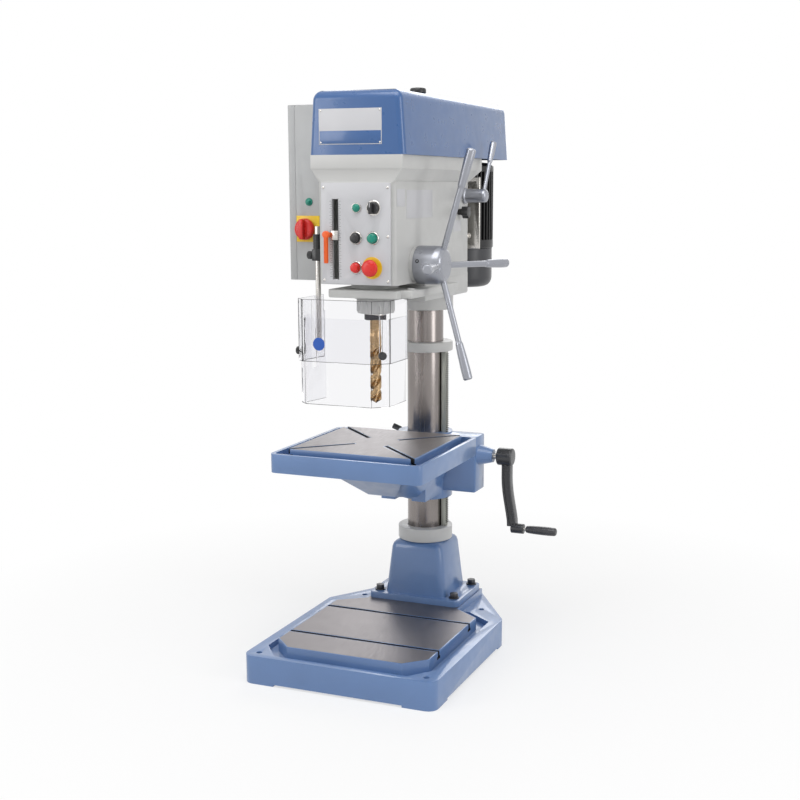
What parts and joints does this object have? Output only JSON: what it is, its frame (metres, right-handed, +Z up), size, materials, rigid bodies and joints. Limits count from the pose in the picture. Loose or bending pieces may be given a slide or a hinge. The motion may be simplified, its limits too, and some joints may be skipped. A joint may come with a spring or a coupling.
{
  "type": "floor-standing drill press",
  "caption": "Floor-standing column drill press with a rising, swinging table, clear drill guard, belt-drive hood, rear motor and side electrical cabinet.",
  "frame": {"origin": "centre of the bounding box at floor level", "axes": "+Z up, -Y towards the operator, +X towards the side with the feed levers and the table crank"},
  "size_m": [0.7692, 1.0816, 1.7323],
  "materials": {
    "casting_blue": "gloss enamel",
    "cover_blue": "gloss enamel",
    "casting_grey": "gloss enamel",
    "panel_grey": "powder coat",
    "cabinet_grey": "powder coat",
    "bright_steel": "ground and polished",
    "dark_steel": "blackened",
    "lever_grey": "satin silver",
    "crank_grey": "gloss",
    "grip_grey": "gloss",
    "motor_black": "gloss",
    "fan_grey": "satin",
    "black_plastic": "satin",
    "rubber": "matt",
    "coated_drill": "coated",
    "clear_guard": "clear",
    "green_plastic": "gloss",
    "red_plastic": "gloss",
    "orange_plastic": "gloss"
  },
  "bodies": {
    "machine": {"base_plate": "casting_blue", "column_foot": "casting_blue", "foot_bolt_1": "dark_steel", "foot_bolt_2": "dark_steel", "foot_bolt_3": "dark_steel", "foot_bolt_4": "dark_steel", "column": "bright_steel", "lower_collar": "casting_grey", "upper_collar": "casting_grey", "head_casting": "casting_grey", "control_panel": "panel_grey", "cabinet": "cabinet_grey", "drive_belt": "rubber", "guard_bracket": "motor_black", "spring_case": "dark_steel", "return_spring": "dark_steel"},
    "rack": {"rack": "bright_steel"},
    "table": {"table": "casting_blue"},
    "lift_pinion": {"lift_pinion": "dark_steel"},
    "crank": {"crank_shaft": "bright_steel", "crank_arm": "crank_grey"},
    "crank_grip": {"crank_grip": "grip_grey"},
    "table_clamp": {"table_clamp_lever": "crank_grey"},
    "quill": {"quill": "bright_steel", "quill_collar": "casting_grey", "lower_bearing": "dark_steel", "upper_bearing": "dark_steel"},
    "spindle": {"spindle": "bright_steel", "drill_bit": "coated_drill"},
    "spindle_pulley": {"spindle_pulley": "dark_steel"},
    "feed": {"feed_shaft": "bright_steel", "feed_hub": "lever_grey", "feed_lever_1": "lever_grey", "feed_lever_2": "lever_grey", "feed_lever_3": "lever_grey", "feed_lever_4": "lever_grey"},
    "motor": {"motor_plate": "bright_steel", "motor_body": "motor_black", "fan_cover": "fan_grey"},
    "motor_rotor": {"motor_shaft": "bright_steel", "motor_pulley": "dark_steel"},
    "tension_lever": {"tension_lever": "lever_grey"},
    "tension_knob": {"tension_knob": "black_plastic"},
    "belt_cover": {"belt_cover": "cover_blue"},
    "cover_knob": {"cover_knob": "black_plastic"},
    "start_button": {"start_button": "green_plastic"},
    "jog_button": {"jog_button": "black_plastic"},
    "stop_button": {"stop_button": "red_plastic"},
    "estop_button": {"estop_button": "red_plastic"},
    "selector_switch": {"selector_switch": "black_plastic"},
    "isolator": {"isolator_handle": "red_plastic"},
    "depth_stop": {"depth_stop": "bright_steel"},
    "depth_lever": {"depth_lever": "orange_plastic"},
    "guard_rod": {"guard_rod": "bright_steel"},
    "guard_upper": {"guard_upper": "clear_guard"},
    "guard_lower": {"guard_lower": "clear_guard"},
    "guard_knob_left": {"guard_knob_left": "black_plastic"},
    "guard_knob_right": {"guard_knob_right": "black_plastic"},
    "guard_bracket_knob": {"guard_bracket_knob": "black_plastic"},
    "cabinet_door": {"cabinet_door": "cabinet_grey"}
  },
  "joints": [
    {"name": "table_swing", "type": "hinge", "parent": "machine", "child": "rack", "pos_m": [-0.06235, 0.15982, 0.63], "axis": [0, 0, 1], "range_deg": [-60, 60]},
    {"name": "table_lift", "type": "slide", "parent": "rack", "child": "table", "axis": [0, 0, 1], "range_m": [-0.085, 0.11]},
    {"name": "lift_pinion_turn", "type": "hinge", "parent": "table", "child": "lift_pinion", "pos_m": [0.03565, 0.15982, 0.5616], "axis": [0, 1, 0], "range_deg": [-300, 240]},
    {"name": "crank_turn", "type": "hinge", "parent": "table", "child": "crank", "pos_m": [0.13765, 0.15982, 0.592], "axis": [1, 0, 0], "continuous": true},
    {"name": "crank_grip_turn", "type": "hinge", "parent": "crank", "child": "crank_grip", "pos_m": [0.32765, 0.15982, 0.361], "axis": [1, 0, 0], "continuous": true},
    {"name": "table_clamp", "type": "hinge", "parent": "table", "child": "table_clamp", "pos_m": [-0.06235, 0.26182, 0.6], "axis": [1, 0, 0], "range_deg": [-35, 35]},
    {"name": "quill_feed", "type": "slide", "parent": "machine", "child": "quill", "axis": [0, 0, 1], "range_m": [-0.12, 0], "stiffness_N_per_m": 900, "springref_m": 0.28},
    {"name": "feed_turn", "type": "hinge", "parent": "machine", "child": "feed", "pos_m": [0.03765, -0.21418, 1.216], "axis": [1, 0, 0], "range_deg": [-5, 318]},
    {"name": "spindle_pulley_turn", "type": "hinge", "parent": "machine", "child": "spindle_pulley", "pos_m": [-0.06235, -0.22918, 1.575], "axis": [0, 0, 1], "continuous": true},
    {"name": "spindle_turn", "type": "hinge", "parent": "quill", "child": "spindle", "pos_m": [-0.06235, -0.22918, 1.2], "axis": [0, 0, 1], "continuous": true},
    {"name": "motor_slide", "type": "slide", "parent": "machine", "child": "motor", "axis": [0, 1, 0], "range_m": [-0.012, 0]},
    {"name": "motor_turn", "type": "hinge", "parent": "motor", "child": "motor_rotor", "pos_m": [-0.04035, 0.43182, 1.45], "axis": [0, 0, 1], "continuous": true},
    {"name": "tension_turn", "type": "hinge", "parent": "machine", "child": "tension_lever", "pos_m": [0.08765, 0.18982, 1.408], "axis": [1, 0, 0], "range_deg": [-75, 0]},
    {"name": "tension_knob_turn", "type": "hinge", "parent": "machine", "child": "tension_knob", "pos_m": [0.06765, 0.13482, 1.359], "axis": [1, 0, 0], "continuous": true},
    {"name": "cover_lift", "type": "slide", "parent": "machine", "child": "belt_cover", "axis": [0, 0, 1], "range_m": [0, 0.25]},
    {"name": "cover_knob_turn", "type": "hinge", "parent": "belt_cover", "child": "cover_knob", "pos_m": [-0.06235, 0.09982, 1.71], "axis": [0, 0, 1], "continuous": true},
    {"name": "start_press", "type": "slide", "parent": "machine", "child": "start_button", "axis": [0, 1, 0], "range_m": [0, 0.004], "stiffness_N_per_m": 600, "springref_m": -0.002},
    {"name": "jog_press", "type": "slide", "parent": "machine", "child": "jog_button", "axis": [0, 1, 0], "range_m": [0, 0.004], "stiffness_N_per_m": 600, "springref_m": -0.002},
    {"name": "stop_press", "type": "slide", "parent": "machine", "child": "stop_button", "axis": [0, 1, 0], "range_m": [0, 0.004], "stiffness_N_per_m": 600, "springref_m": -0.002},
    {"name": "estop_press", "type": "slide", "parent": "machine", "child": "estop_button", "axis": [0, 1, 0], "range_m": [0, 0.004], "stiffness_N_per_m": 600, "springref_m": -0.002},
    {"name": "selector_turn", "type": "hinge", "parent": "machine", "child": "selector_switch", "pos_m": [-0.00735, -0.37018, 1.378], "axis": [0, 1, 0], "range_deg": [-45, 45]},
    {"name": "isolator_turn", "type": "hinge", "parent": "machine", "child": "isolator", "pos_m": [-0.33035, -0.15018, 1.31], "axis": [0, 1, 0], "range_deg": [0, 90]},
    {"name": "depth_stop_slide", "type": "slide", "parent": "machine", "child": "depth_stop", "axis": [0, 0, 1], "range_m": [-0.11, 0.088]},
    {"name": "depth_lever_turn", "type": "hinge", "parent": "depth_stop", "child": "depth_lever", "pos_m": [-0.14735, -0.37018, 1.304], "axis": [0, 1, 0], "range_deg": [0, 60]},
    {"name": "guard_rod_slide", "type": "slide", "parent": "machine", "child": "guard_rod", "axis": [0, 0, 1], "range_m": [-0.06, 0]},
    {"name": "guard_swing", "type": "hinge", "parent": "guard_rod", "child": "guard_upper", "pos_m": [-0.26035, -0.20218, 1.03], "axis": [0, 0, 1], "range_deg": [-110, 0]},
    {"name": "guard_extend", "type": "slide", "parent": "guard_upper", "child": "guard_lower", "axis": [0, 0, 1], "range_m": [0, 0.06]},
    {"name": "guard_knob_left_turn", "type": "hinge", "parent": "guard_lower", "child": "guard_knob_left", "pos_m": [-0.29235, -0.26418, 0.958], "axis": [-1, 0, 0], "continuous": true},
    {"name": "guard_knob_right_turn", "type": "hinge", "parent": "guard_lower", "child": "guard_knob_right", "pos_m": [-0.01835, -0.28818, 0.958], "axis": [0.7071, -0.7071, 0], "continuous": true},
    {"name": "bracket_knob_turn", "type": "hinge", "parent": "machine", "child": "guard_bracket_knob", "pos_m": [-0.28235, -0.20218, 1.236], "axis": [-1, 0, 0], "continuous": true},
    {"name": "door_open", "type": "hinge", "parent": "machine", "child": "cabinet_door", "pos_m": [-0.36265, 0.25982, 1.4], "axis": [0, 0, 1], "range_deg": [-110, 0]}
  ],
  "couplings": [
    {"joint": "lift_pinion_turn", "follows": "table_lift", "rad_per_m": -45.455},
    {"joint": "crank_turn", "follows": "table_lift", "rad_per_m": 500},
    {"joint": "feed_turn", "follows": "quill_feed", "rad_per_m": -45.455},
    {"joint": "spindle_turn", "follows": "spindle_pulley_turn", "ratio": 1},
    {"joint": "motor_turn", "follows": "spindle_pulley_turn", "ratio": 1.1698},
    {"joint": "tension_turn", "follows": "motor_slide", "rad_per_m": 101.81}
  ]
}
